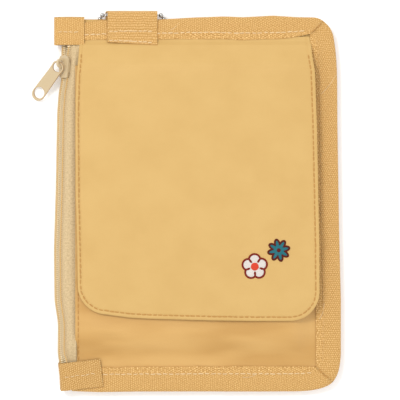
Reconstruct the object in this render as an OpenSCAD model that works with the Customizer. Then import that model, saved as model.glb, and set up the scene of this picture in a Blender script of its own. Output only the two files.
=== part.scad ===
// Neck pouch wallet lying on its back: two pockets, a flap, a side zip and a webbing loop with a ball chain.
// Millimetres. +Z is the face, +Y is the top of the pouch, the back face rests on Z = 0.

/* [Pouch] */
// Right edge of the bound seam, from the middle of the back face
seam_x = 70; // [60:0.5:90]
// Top edge of the bound seam
seam_top = 94; // [80:0.5:120]
// Bottom edge of the bound seam
seam_bottom = -93; // [-120:0.5:-80]
// Left folded edge of the panels
panel_left = -61.5; // [-65:0.5:-55]
// Thickness of the panel fabric
cloth = 0.4; // [0.3:0.05:0.8]
// Height of the seam under its lowest ply
seam_z = 4.33; // [3:0.01:6]
// Height of the front panel's face
face_z = 9.8; // [8:0.1:12]
// Place of the front pocket's mouth
mouth_y = 70; // [60:1:75]
// Radius of the top right corner
corner_top = 7; // [4:0.5:15]
// Radius of the bottom right corner
corner_bottom = 12; // [4:0.5:15]

/* [Binding and webbing] */
// Width of the top binding
bind_top_w = 10.5; // [8:0.5:14]
// Width of the side and bottom binding
bind_w = 12; // [8:0.5:14]
// Thickness of the binding tape
bind_t = 0.5; // [0.3:0.05:0.8]
// Width of the webbing loop
loop_w = 25; // [15:1:30]
// Middle of the webbing loop along the top seam
loop_x = -33.2; // [-50:0.1:0]
// Thickness of the webbing
web_t = 0.6; // [0.4:0.05:1]

/* [Zip] */
// Tilt of the zip's plane
zip_tilt = 45; // [30:1:60]
// Lean of the zip's line from the pouch's length
zip_lean = 0.737; // [0:0.001:1.5]
// Middle of the zip's line, across the pouch
zip_x = -67.15; // [-72:0.05:-60]
// Height of the zip's line
zip_z = 5; // [4:0.1:7]
// Place of the slider along the zip's line
slider_y = 69.6; // [-60:0.1:70]
// Width of the pull's plate at its end
pull_w = 7; // [5:0.1:9]
// Length of the pull from the crown's hole to its tip
pull_l = 23.3; // [20:0.1:32]
// Radius of the pull's round hole
pull_hole_r = 2.9; // [2:0.05:3]

/* [Flap] */
// Bottom edge of the flap
flap_bottom = -57.75; // [-70:0.25:-40]
// Place of the flap's fold line
hinge_y = 80.6; // [78:0.1:82]
// Height of the flap's underside over the pocket
flap_z = 11.1; // [10.5:0.1:13]
// Radius of the flap's corners
flap_r = 15; // [5:1:25]

/* [Ball chain] */
// Diameter of a ball
ball_d = 2.4; // [1.5:0.1:3.2]
// Number of ball places round the loop
ball_count = 36; // [20:1:60]

/* [Show] */
// Which piece to draw

/* [Hidden] */
yellow = [0.91, 0.72, 0.42];
gold = [0.89, 0.67, 0.36];
tape_tan = [0.9, 0.8, 0.6];
enamel = [0.9, 0.8, 0.6];
nickel = [0.75, 0.75, 0.77];
wide = 400;
rim_in = seam_x - bind_w - 0.7;
rim_out = seam_x - bind_t - 0.2;
rim_low = seam_bottom + bind_t + 0.2;
rim_high = seam_top - bind_t - 0.2;
slope_low = -76.7;
slope_low_in = -64;
face_low = face_z - cloth;
front_rim = seam_z + 0.74;
div_z = seam_z + 0.42;
div_t = 0.3;
bind_low = seam_z - 0.03 - bind_t;
bind_high = front_rim + cloth + 0.03 + bind_t;
tunnel_y = seam_top + 1.5;
tunnel_z = 4.9;
coil_r = 0.85;
coil_off = 1.35;
crown_n = 3.9;
flap_left = -59.75;
flap_right = 60;
emb_z = flap_z + 0.73;

function bend(p, i) = p[min(i + 1, len(p) - 1)] - p[max(i - 1, 0)];
function side(v) = [v[1], -v[0]] / norm(v);
function band(p, a, b) = concat(
  [for (i = [0 : len(p) - 1]) p[i] + side(bend(p, i)) * b],
  [for (i = [len(p) - 1 : -1 : 0]) p[i] + side(bend(p, i)) * a]
);

// A profile in Y and Z, drawn out along X
module along_x(p, x0, x1) {
  translate([x0, 0, 0])
    rotate([90, 0, 90])
      linear_extrude(height = x1 - x0)
        polygon(p);
}

// A profile in X and Z, drawn out along Y
module along_y(p, y0, y1) {
  translate([0, y1, 0])
    rotate([90, 0, 0])
      linear_extrude(height = y1 - y0)
        polygon(p);
}

// Rectangle with its two right corners rounded
module seam_outline(x0, x1, y0, y1, r0, r1) {
  difference() {
    translate([x0, y0])
      square([x1 - x0, y1 - y0]);
    translate([x1 - r0, y0 - 1])
      square([r0 + 1, r0 + 1]);
    translate([x1 - r1, y1 - r1])
      square([r1 + 1, r1 + 1]);
  }
  translate([x1 - r0, y0 + r0])
    circle(r = r0, $fn = 64);
  translate([x1 - r1, y1 - r1])
    circle(r = r1, $fn = 64);
}

module panel_outline(top) {
  seam_outline(panel_left, rim_out, rim_low, top, corner_bottom - bind_t, corner_top - bind_t);
}

// Everything over a valley whose sides run along X and along Y
module valley(px, py) {
  intersection() {
    along_y(concat(px, [[wide, 40], [-wide, 40]]), -wide, wide);
    along_x(concat(py, [[wide, 40], [-wide, 40]]), -wide, wide);
  }
}

// Everything under a ridge whose sides run along X and along Y
module ridge(px, py) {
  intersection() {
    along_y(concat(px, [[wide, -40], [-wide, -40]]), -wide, wide);
    along_x(concat(py, [[wide, -40], [-wide, -40]]), -wide, wide);
  }
}

function back_x(d) = [[-wide, 0.65 + d], [-57, 0.65 + d], [-52, d], [46, d], [rim_in, seam_z + d], [wide, seam_z + d]];
function back_y(d) = [[-wide, seam_z + d], [slope_low, seam_z + d], [slope_low_in, d], [38, d], [56, 3 + d],
  [82, seam_z + d], [wide, seam_z + d]];
function front_x(z) = [[-wide, z], [47, z], [rim_in, z - face_low + front_rim], [wide, z - face_low + front_rim]];
function front_y(z) = [[-wide, z - face_low + front_rim], [slope_low, z - face_low + front_rim],
  [slope_low_in, z], [wide, z]];

module back_panel() {
  color(gold)
    intersection() {
      difference() {
        valley(back_x(0), back_y(0));
        valley(back_x(cloth), back_y(cloth));
      }
      linear_extrude(height = 30)
        panel_outline(rim_high);
    }
}

module front_panel() {
  color(gold)
    intersection() {
      difference() {
        ridge(front_x(face_z), front_y(face_z));
        ridge(front_x(face_low), front_y(face_low));
      }
      linear_extrude(height = 30)
        intersection() {
          panel_outline(rim_high);
          translate([-wide, -wide])
            square([2 * wide, wide + mouth_y]);
        }
    }
}

module divider_panel() {
  color(yellow) {
    translate([0, 0, div_z])
      linear_extrude(height = div_t)
        difference() {
          panel_outline(rim_high);
          translate([panel_left - 1, slope_low])
            square([-44 - panel_left + 1, 80 - slope_low]);
        }
    along_y(band([[-59.5, 8.4], [-57, 8.2], [-45.5, div_z + 0.25], [-43.9, div_z]], -div_t, 0), slope_low_in, 64);
  }
}

module pocket_loop_patch() {
  color(gold)
    translate([-12, -50, face_z + 0.02])
      cube([24, 16, 0.46]);
}

// The folded tape all round: a channel over the panels' edges
module binding_channel() {
  difference() {
    translate([0, 0, bind_low])
      linear_extrude(height = bind_high - bind_low)
        seam_outline(panel_left - 0.3, seam_x, seam_bottom, seam_top, corner_bottom, corner_top);
    translate([0, 0, bind_low + bind_t])
      linear_extrude(height = bind_high - bind_low - 2 * bind_t)
        seam_outline(-wide, seam_x - bind_t, seam_bottom + bind_t, seam_top - bind_t,
          corner_bottom - bind_t, corner_top - bind_t);
    translate([-wide, seam_bottom + bind_w + 0.75, 0])
      cube([wide + seam_x - bind_w, seam_top - bind_top_w - seam_bottom - bind_w - 0.75, 30]);
  }
}

// The wedge of the plane that a side's tape fills, cut on the mitre lines
module mitre(p) {
  translate([0, 0, -1])
    linear_extrude(height = 30)
      polygon(p);
}

module binding_top() {
  color(yellow)
    intersection() {
      binding_channel();
      mitre([[-wide, seam_top - bind_top_w - 1], [seam_x - bind_w - 0.05, seam_top - bind_top_w - 1],
        [seam_x - bind_w - 0.05, seam_top - bind_top_w], [seam_x + 4.6, seam_top + 4], [-wide, seam_top + 4]]);
    }
}

module binding_right() {
  color(yellow)
    intersection() {
      binding_channel();
      mitre([[seam_x - bind_w, seam_top - bind_top_w], [seam_x + 4.65, seam_top + 4],
        [seam_x + 4.65, seam_bottom - 4], [seam_x - bind_w, seam_bottom + bind_w + 0.7]]);
    }
}

module binding_bottom() {
  color(yellow)
    intersection() {
      binding_channel();
      mitre([[-wide, seam_bottom + bind_w + 1], [seam_x - bind_w - 0.05, seam_bottom + bind_w + 1],
        [seam_x - bind_w - 0.05, seam_bottom + bind_w + 0.7], [seam_x + 4.6, seam_bottom - 4],
        [-wide, seam_bottom - 4]]);
    }
}

// Frame of the zip: its line runs along Y
module on_zip() {
  translate([zip_x, 0, zip_z])
    rotate([0, 0, -zip_lean])
      children();
}

// Frame of the zip's own plane: X across the tapes, Z out of the zip's face
module on_chain() {
  on_zip()
    rotate([0, -zip_tilt, 0])
      children();
}

module zip_tape_front() {
  color(tape_tan)
    on_zip() {
      along_y(band([[1.64, 1.64], [2.95, 2.95], [3.6, 3.5], [4.4, 3.95], [5.3, 4.1]], -0.25, 0.25), -76.4, 79.4);
      translate([5.2, slope_low_in + 0.5, 3.85])
        cube([5.4, 66 - slope_low_in - 0.5, 0.5]);
    }
}

module zip_tape_back() {
  color(tape_tan)
    on_zip() {
      along_y(band([[-1.64, -1.64], [-2.95, -2.95], [-3.25, -3.6], [-3.1, -4.15], [-2.5, -4.55], [-1.6, -4.65],
        [5.3, -4.65]], -0.25, 0.25), -76.4, 79.4);
      translate([5.2, slope_low_in + 0.5, -4.9])
        cube([4.2, 38 - slope_low_in - 0.5, 0.5]);
    }
}

module coil_row(x) {
  on_chain()
    translate([x, 84, 0])
      rotate([90, 0, 0])
        cylinder(r = coil_r, h = 168, $fn = 32);
}

module zip_coil_front() {
  color(tape_tan)
    coil_row(coil_off);
}

module zip_coil_back() {
  color(tape_tan)
    coil_row(-coil_off);
}

module zip_tab_top() {
  color(yellow)
    along_y(band([[-57.4, 6.35], [-61, 6.45], [-63.3, 7.3], [-69.5, 7.4], [-71.7, 6.5], [-72.3, 4.95],
      [-71.7, 3.4], [-69.5, 2.5], [-63.3, 2.6], [-61, 3.4], [-57.4, 3.48]], -web_t / 2, web_t / 2), 80.5, 94.6);
}

module zip_tab_bottom() {
  color(yellow)
    along_y(band([[-48.75, 6.35], [-60.5, 6.45], [-63.8, 7.3], [-69, 7.4], [-70.9, 6.4], [-71.3, 4.95],
      [-70.9, 3.5], [-69, 2.5], [-63.8, 2.6], [-60.5, 3.4], [-48.75, 3.48]], -web_t / 2, web_t / 2), -92.4, -76.8);
}

module webbing_loop() {
  color(yellow)
    along_x(band([[81.4, 6.35], [92.4, 6.35], [94.4, 6.75], [95.9, 6.7], [96.9, 6.1], [97.35, 4.9], [96.9, 3.7],
      [95.9, 3.1], [94.4, 3.05], [92.4, 3.48], [81.4, 3.48]], -web_t / 2, web_t / 2),
      loop_x - loop_w / 2, loop_x + loop_w / 2);
}

// Outline of a slider plate: wide shoulders over a narrow tail
module plate_outline() {
  polygon([[-2.3, 5.5], [2.3, 5.5], [3.6, 3.4], [3.6, 1.6], [2.7, -5.2], [2.2, -5.7], [-2.2, -5.7], [-2.7, -5.2],
    [-3.6, 1.6], [-3.6, 3.4]]);
}

module zip_slider() {
  color(enamel)
    on_chain()
      translate([0, slider_y, 0]) {
        translate([0, 0, 1.15])
          linear_extrude(height = 0.9)
            plate_outline();
        translate([0, 0, -2.05])
          linear_extrude(height = 0.9)
            plate_outline();
        for (s = [-1, 1])
          for (z = [-1.2, 0.55])
            translate([0, 0, z])
              linear_extrude(height = 0.65)
                polygon([[s * 2.55, 2.2], [s * 3.55, 1.6], [s * 2.95, -3], [s * 2.52, -3]]);
        translate([-0.2, 0.8, -1.2])
          cube([0.4, 4.2, 2.4]);
        translate([0, 1.6, crown_n])
          rotate([0, 90, 0])
            translate([0, 0, -0.6])
              linear_extrude(height = 1.2)
                difference() {
                  union() {
                    circle(r = 2.4, $fn = 48);
                    translate([0, -2.4])
                      square([crown_n - 1.9, 4.8]);
                  }
                  circle(r = 1.5, $fn = 48);
                }
      }
}

module zip_pull() {
  color(enamel)
    on_chain()
      translate([0, slider_y + 1.6, crown_n])
        rotate([0, zip_tilt, 0])
          rotate([0, 0, zip_lean - 37])
            rotate([17.3, 0, 0])
              rotate([0, -15, 0]) {
                difference() {
                  union() {
                    translate([0, 0, -0.5])
                      linear_extrude(height = 1)
                        polygon([[-3, -5.2], [3, -5.2], [pull_w / 2, 3.5 - pull_l], [-pull_w / 2, 3.5 - pull_l]]);
                    translate([0, pull_w / 2 - pull_l, -0.5])
                      cylinder(r = pull_w / 2, h = 1, $fn = 48);
                  }
                  translate([0, 4.2 - pull_l, -1])
                    cylinder(r = pull_hole_r, h = 2, $fn = 48);
                }
                translate([-2.9, 0, 0])
                  rotate([0, 90, 0])
                    cylinder(r = 0.4, h = 5.8, $fn = 24);
                for (s = [-2.9, 2.9]) {
                  translate([s, 0, 0])
                    sphere(r = 0.4, $fn = 24);
                  translate([s, 0, 0])
                    rotate([90, 0, 0])
                      cylinder(r = 0.4, h = 5.5, $fn = 24);
                }
              }
}

module flap_outline(inset) {
  difference() {
    translate([flap_left + inset, flap_bottom + inset])
      square([flap_right - flap_left - 2 * inset, 200]);
    translate([flap_left, flap_bottom])
      square([flap_r, flap_r]);
    translate([flap_right - flap_r, flap_bottom])
      square([flap_r, flap_r]);
  }
  translate([flap_left + flap_r, flap_bottom + flap_r])
    circle(r = flap_r - inset, $fn = 64);
  translate([flap_right - flap_r, flap_bottom + flap_r])
    circle(r = flap_r - inset, $fn = 64);
}

// One layer of the flap, between two heights over its underside
module flap_layer(a, b, inset) {
  intersection() {
    along_x(band([[hinge_y - 0.2, 6.6], [78, 7.2], [70.5, 10.25], [67.5, 10.98], [65.5, flap_z], [-wide, flap_z]],
      a, b), -wide, wide);
    translate([0, 0, -1])
      linear_extrude(height = 40)
        flap_outline(inset);
  }
}

module flap_outer() {
  color(yellow)
    flap_layer(0.32, 0.72, 0);
}

module flap_lining() {
  color(gold)
    flap_layer(0, 0.3, 0.6);
}

module flap_hook_patch() {
  color(gold)
    translate([-11, -49, flap_z - 0.5])
      cube([22, 14, 0.48]);
}

// Round petals side by side in a ring
module petals(n, r, at, turn) {
  for (i = [0 : n - 1])
    rotate([0, 0, turn + i * 360 / n])
      translate([at, 0])
        circle(r = r, $fn = 40);
}

module white_flower_petals() {
  color([0.94, 0.92, 0.9])
    translate([28.1, -30.5, emb_z])
      linear_extrude(height = 0.26)
        difference() {
          petals(5, 2.8, 3.4, 90);
          circle(r = 2.15, $fn = 40);
        }
}

module white_flower_outline() {
  color([0.49, 0.12, 0.1])
    translate([28.1, -30.5, emb_z])
      linear_extrude(height = 0.22)
        difference() {
          petals(5, 3.25, 3.4, 90);
          petals(5, 2.81, 3.4, 90);
          circle(r = 2.5, $fn = 40);
        }
}

module white_flower_centre() {
  color([0.92, 0.3, 0.2])
    translate([28.1, -30.5, emb_z])
      cylinder(r = 2.13, h = 0.3, $fn = 40);
}

// Eight long petals round a middle disc, all a little larger by grow
module daisy(grow) {
  for (a = [0 : 45 : 315])
    rotate(13 + a)
      translate([3.05, 0])
        scale([2.15 + grow, 0.95 + grow])
          circle(r = 1, $fn = 40);
  circle(r = 2.1 + grow, $fn = 40);
}

module teal_flower_petals() {
  color([0.16, 0.5, 0.57])
    translate([40, -22.3, emb_z])
      linear_extrude(height = 0.26)
        difference() {
          daisy(0);
          circle(r = 1.02, $fn = 40);
        }
}

module teal_flower_outline() {
  color([0.3, 0.1, 0.08])
    translate([40, -22.3, emb_z])
      linear_extrude(height = 0.22)
        difference() {
          daisy(0.45);
          daisy(0.01);
        }
}

module teal_flower_centre() {
  color([0.25, 0.13, 0.1])
    translate([40, -22.3, emb_z])
      cylinder(r = 1, h = 0.3, $fn = 32);
}

// The ball chain's line: through the webbing loop, down to the table and round behind the pouch
chain_mid = -33.5;
chain_half = 16.3;
chain_turn_y = 77.5;
floor_z = ball_d / 2 + 0.02;
chain_line = concat(
  [[chain_mid - 12.9, tunnel_y, tunnel_z], [chain_mid + 14.2, tunnel_y + 0.05, tunnel_z],
    [chain_mid + 15.4, 95.2, 3.4], [chain_mid + 16, 94, 1.95], [chain_mid + 16.25, 92, 1.35],
    [chain_mid + chain_half, 88.8, floor_z]],
  [for (a = [0 : -15 : -180]) [chain_mid + chain_half * cos(a), chain_turn_y + chain_half * sin(a), floor_z]],
  [[chain_mid - chain_half, 88.8, floor_z], [chain_mid - 16.25, 92, 1.35], [chain_mid - 15.9, 94, 1.95],
    [chain_mid - 15.3, 95.2, 3.2], [chain_mid - 14.3, 95.6, 4.7], [chain_mid - 12.9, tunnel_y, tunnel_z]]
);
function leg(i) = norm(chain_line[i + 1] - chain_line[i]);
function run(i) = i == 0 ? 0 : run(i - 1) + leg(i - 1);
chain_runs = [for (i = [0 : len(chain_line) - 1]) run(i)];
chain_total = chain_runs[len(chain_line) - 1];
function leg_of(s, i) = i >= len(chain_line) - 2 || chain_runs[i + 1] > s ? i : leg_of(s, i + 1);
function at_leg(s, i) = chain_line[i] + (chain_line[i + 1] - chain_line[i]) * (s - chain_runs[i]) / leg(i);
function chain_at(s) = at_leg(s, leg_of(s, 0));
pitch = chain_total / ball_count;
function ball_at(i) = chain_at(((i % ball_count) + 0.35) * pitch);
clasp = [for (i = [0 : ball_count - 1]) if (ball_at(i)[1] < chain_turn_y - chain_half + 0.4) i];

module chain_balls() {
  color(nickel)
    for (i = [0 : ball_count - 1])
      if (len(search(i, clasp)) == 0)
        translate(ball_at(i))
          sphere(d = ball_d, $fn = 24);
}

module chain_links() {
  color(nickel)
    for (i = [0 : ball_count - 1])
      if (len(search(i, clasp)) == 0 && len(search((i + 1) % ball_count, clasp)) == 0) {
        v = ball_at(i + 1) - ball_at(i);
        translate((ball_at(i + 1) + ball_at(i)) / 2)
          rotate([0, acos(v[2] / norm(v)), atan2(v[1], v[0])])
            cylinder(d = 0.7, h = norm(v) - ball_d + 0.3, center = true, $fn = 16);
      }
}

module chain_connector() {
  color(nickel)
    translate([chain_mid, chain_turn_y - chain_half + 0.1, floor_z + 0.05])
      rotate([0, 90, 0])
        cylinder(r = 1.22, h = 7, center = true, $fn = 32);
}

back_panel();
divider_panel();
front_panel();
pocket_loop_patch();
binding_top();
binding_right();
binding_bottom();
zip_tape_front();
zip_tape_back();
zip_coil_front();
zip_coil_back();
zip_tab_top();
zip_tab_bottom();
webbing_loop();
zip_slider();
zip_pull();
flap_outer();
flap_lining();
flap_hook_patch();
white_flower_petals();
white_flower_outline();
white_flower_centre();
teal_flower_petals();
teal_flower_outline();
teal_flower_centre();
chain_balls();
chain_links();
chain_connector();
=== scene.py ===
import math
import bpy
import numpy as np
from mathutils import Matrix, Vector, noise


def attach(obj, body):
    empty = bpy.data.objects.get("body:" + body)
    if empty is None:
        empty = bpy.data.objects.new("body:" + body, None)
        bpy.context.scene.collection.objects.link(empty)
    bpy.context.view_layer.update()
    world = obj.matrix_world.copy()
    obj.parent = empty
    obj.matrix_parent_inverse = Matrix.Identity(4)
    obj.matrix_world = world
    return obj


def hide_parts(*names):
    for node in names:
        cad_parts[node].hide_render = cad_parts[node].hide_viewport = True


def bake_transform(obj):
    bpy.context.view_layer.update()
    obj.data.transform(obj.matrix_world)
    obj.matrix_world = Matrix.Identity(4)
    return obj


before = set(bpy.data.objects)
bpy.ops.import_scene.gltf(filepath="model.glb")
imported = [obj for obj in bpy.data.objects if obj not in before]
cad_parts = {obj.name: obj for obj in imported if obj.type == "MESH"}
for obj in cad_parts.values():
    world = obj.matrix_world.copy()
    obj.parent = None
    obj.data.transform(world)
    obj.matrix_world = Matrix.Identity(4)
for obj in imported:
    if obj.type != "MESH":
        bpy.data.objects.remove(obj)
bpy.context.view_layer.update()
MM = 0.001


def add(name, data):
    """A new object in the scene."""
    o = bpy.data.objects.new(name, data)
    bpy.context.scene.collection.objects.link(o)
    return o


def piece(name, verts, faces, mat, cloth=None):
    """A mesh object. cloth says where each of its points lies on the flat cloth."""
    me = bpy.data.meshes.new(name)
    me.from_pydata([tuple(v) for v in np.asarray(verts, float) * MM], [], faces)
    me.validate()
    if cloth is not None:
        at = me.attributes.new("cloth", "FLOAT_VECTOR", "POINT")
        at.data.foreach_set("vector", np.asarray(cloth, np.float32).ravel())
    me.polygons.foreach_set("use_smooth", [True] * len(me.polygons))
    me.update()
    me.materials.append(mat)
    return add(name, me)


def settle(o, body, slot, *nodes):
    """Says a piece's body and the CAD nodes that it stands for, and hides those nodes. slot, its material
    slot, is not used.
    """
    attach(o, body)
    if nodes:
        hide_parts(*nodes)


def points(*axes):
    """One array of places from the arrays of their coordinates."""
    return np.stack(axes, -1)


def grid_faces(n, m, start=0, flip=False):
    """Faces of an n by m grid of points, numbered from start."""
    out = []
    for i in range(n - 1):
        for j in range(m - 1):
            a = start + i * m + j
            q = (a, a + 1, a + m + 1, a + m)
            out.append(q[::-1] if flip else q)
    return out


def ring_faces(n, sides, closed=False):
    """Faces between n rings of points, with a cap at each end unless they are closed."""
    F = []
    for i in range(n if closed else n - 1):
        i2 = (i + 1) % n
        for j in range(sides):
            k = (j + 1) % sides
            F.append((i * sides + j, i * sides + k, i2 * sides + k, i2 * sides + j))
    if not closed:
        F.append(tuple(range(sides))[::-1])
        F.append(tuple((n - 1) * sides + j for j in range(sides)))
    return F


def shell(name, P, UV, thick, mat):
    """A closed sheet: P is its middle surface (n, m, 3), UV the same points on the flat cloth."""
    n, m, _ = P.shape
    N = np.cross(np.gradient(P, axis=0), np.gradient(P, axis=1))
    N = N / np.maximum(np.linalg.norm(N, axis=2, keepdims=True), 1e-9)
    if N[n // 2, m // 2, 2] < 0 and abs(N[..., 2]).mean() > 0.5:
        N = -N
    verts = np.stack([P + N * thick / 2, P - N * thick / 2]).reshape(-1, 3)
    cloth = np.c_[np.concatenate([UV.reshape(-1, 2)] * 2), np.repeat([0, 1], n * m)]
    up = float(np.dot(np.cross(P[1, 0] - P[0, 0], P[0, 1] - P[0, 0]), N[0, 0])) > 0
    k = n * m
    faces = grid_faces(n, m, 0, up) + grid_faces(n, m, k, not up)
    at = np.arange(k).reshape(n, m)
    rim = [int(i) for i in (*at[:, 0], *at[-1, 1:], *at[-2::-1, -1], *at[0, -2:0:-1])]
    for s, e in zip(rim, rim[1:] + rim[:1]):
        q = (s, e, e + k, s + k)
        faces.append(q if up else q[::-1])
    return piece(name, verts, faces, mat, cloth)


def tube_mesh(line, r, sides=8, closed=False, squash=1.0, up=(0, 0, 1.0)):
    """Verts and faces of a tube along a line. r is one radius or one for each point."""
    L = np.asarray(line, float)
    T = np.gradient(L, axis=0) if not closed else np.roll(L, -1, 0) - np.roll(L, 1, 0)
    T /= np.maximum(np.linalg.norm(T, axis=1, keepdims=True), 1e-9)
    A = np.cross(T, np.array(up))
    bad = np.linalg.norm(A, axis=1) < 1e-3
    A[bad] = np.cross(T[bad], np.array((0, 1.0, 0)))
    A /= np.linalg.norm(A, axis=1, keepdims=True)
    B = np.cross(A, T)
    R = np.full(len(L), r, float)
    ang = np.arange(sides) * 2 * math.pi / sides
    ring = np.cos(ang)[None, :, None] * A[:, None] + squash * np.sin(ang)[None, :, None] * B[:, None]
    V = (L[:, None] + R[:, None, None] * ring).reshape(-1, 3)
    return V, ring_faces(len(L), sides, closed)


def joined(parts):
    """Several verts and faces as one mesh."""
    V, F, k = [], [], 0
    for v, f in parts:
        V.append(np.asarray(v))
        F += [tuple(k + i for i in q) for q in f]
        k += len(v)
    return np.concatenate(V), F


def along(line, s):
    """The places at the distances s along a line, and the line's length."""
    L = np.asarray(line, float)
    d = np.r_[0, np.cumsum(np.linalg.norm(np.diff(L, axis=0), axis=1))]
    s = np.clip(s, 0, d[-1])
    return points(*(np.interp(s, d, L[:, k]) for k in range(L.shape[1]))), d[-1]


def resample(p, n):
    """n even points along a line."""
    return along(p, np.linspace(0, along(p, 0)[1], n))[0]


def soften(a, times):
    """Smooths a row of points, but for its two ends."""
    for _ in range(times):
        a[1:-1] = (a[:-2] + 2 * a[1:-1] + a[2:]) / 4
    return a


def section(pts, count, times):
    """A section's corners as count softened points, and its length from corner to corner."""
    return soften(resample(pts, count), times), along(pts, 0)[1]


# one stitch: places along it, heights and thicknesses
STITCH_AT = np.array([0, 0.06, 0.2, 0.5, 0.8, 0.94, 1])
STITCH_RISE = np.array([-0.16, -0.05, 0.04, 0.09, 0.04, -0.05, -0.16])
STITCH_TAPER = np.array([0.45, 0.85, 1, 1, 1, 0.85, 0.45])


def stitches(name, slot, line, mat, pitch=3.0, long=2.35, r=0.23, up=(0, 0, 1),
             sink=0.06, uneven=0.0, body="pouch"):
    """A row of thread stitches lying along a line on the cloth."""
    total = along(line, 0)[1]
    rng = np.random.default_rng(len(name) * 7 + int(total))
    parts = []
    U = np.array(up, float)
    for k in range(int(total // pitch)):
        a, b, c, d = rng.uniform(-1, 1, 4) * uneven
        size = long * (1 + 0.22 * a)
        start = (k + 0.5) * pitch - size / 2 + 0.25 * b
        p = along(line, start + size * STITCH_AT)[0]
        way = p[-1] - p[0]
        side = np.cross(way, U) / max(np.linalg.norm(way), 1e-6)
        p = p + side * (np.linspace(-1, 1, len(p))[:, None] * 0.3 * c + 0.16 * d)
        p = p + U * (STITCH_RISE[:, None] - sink + r * 0.6)
        parts.append(tube_mesh(p, r * (1 + 0.2 * b) * STITCH_TAPER, 6, squash=0.75))
    settle(piece(name, *joined(parts), mat), body, slot)


def ripples(X, Y, sx, sy, seed):
    """Soft uneven heights over a grid, about sx by sy wide."""
    out = np.empty(X.shape)
    for i in np.ndindex(X.shape):
        out[i] = noise.noise(Vector((X[i] / sx + seed * 7.3, Y[i] / sy - seed * 3.1, seed * 1.7)))
    return out


def wander(s, wide, b, c):
    """Soft uneven offsets at the distances s; b and c pick one of many rows."""
    return np.array([noise.noise(Vector((x / wide, b, c))) for x in s])


def smooth(t):
    """A soft step from 0 to 1 as t goes from 0 to 1."""
    t = np.clip(t, 0, 1)
    return t * t * (3 - 2 * t)


def dip(t, wide):
    """1 at t = 0, falling off on both sides."""
    return np.exp(-((t / wide) ** 2))


def spacing(a, b, near, step):
    """Places from a to b, closer together at the two ends."""
    near = np.array(near, float)
    middle = b - a - 2 * near[-1]
    count = max(2, int(middle / step))
    mid = a + near[-1] + np.arange(1, count) * middle / count
    return np.r_[a + near, mid, (b - near)[::-1]]


def corners(x0, x1, y0, y1, r):
    """Centre, outward signs and radius of each corner, from the low left one round by the right."""
    return (
        (x0 + r[0], y0 + r[0], -1, -1, r[0]),
        (x1 - r[1], y0 + r[1], 1, -1, r[1]),
        (x1 - r[2], y1 - r[2], 1, 1, r[2]),
        (x0 + r[3], y1 - r[3], -1, 1, r[3]),
    )


def rounded(X, Y, *outline):
    """Moves a grid's points so that its corners are round."""
    for cx, cy, sx, sy, rr in corners(*outline):
        if rr <= 0:
            continue
        dx, dy = (X - cx) * sx, (Y - cy) * sy
        inside = (dx > 0) & (dy > 0)
        k = np.where(inside, np.maximum(dx, dy) / np.maximum(np.hypot(dx, dy), 1e-9), 1)
        X = np.where(inside, cx + sx * dx * k, X)
        Y = np.where(inside, cy + sy * dy * k, Y)
    return X, Y


def inset_of(X, Y, x0, x1, y0, y1, r):
    """Distance of each point from the rounded outline."""
    d = np.minimum(np.minimum(X - x0, x1 - X), np.minimum(Y - y0, y1 - Y))
    for cx, cy, sx, sy, rr in corners(x0, x1, y0, y1, r):
        dx, dy = (X - cx) * sx, (Y - cy) * sy
        d = np.where((dx > 0) & (dy > 0) & (rr > 0), rr - np.hypot(dx, dy), d)
    return d


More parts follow.
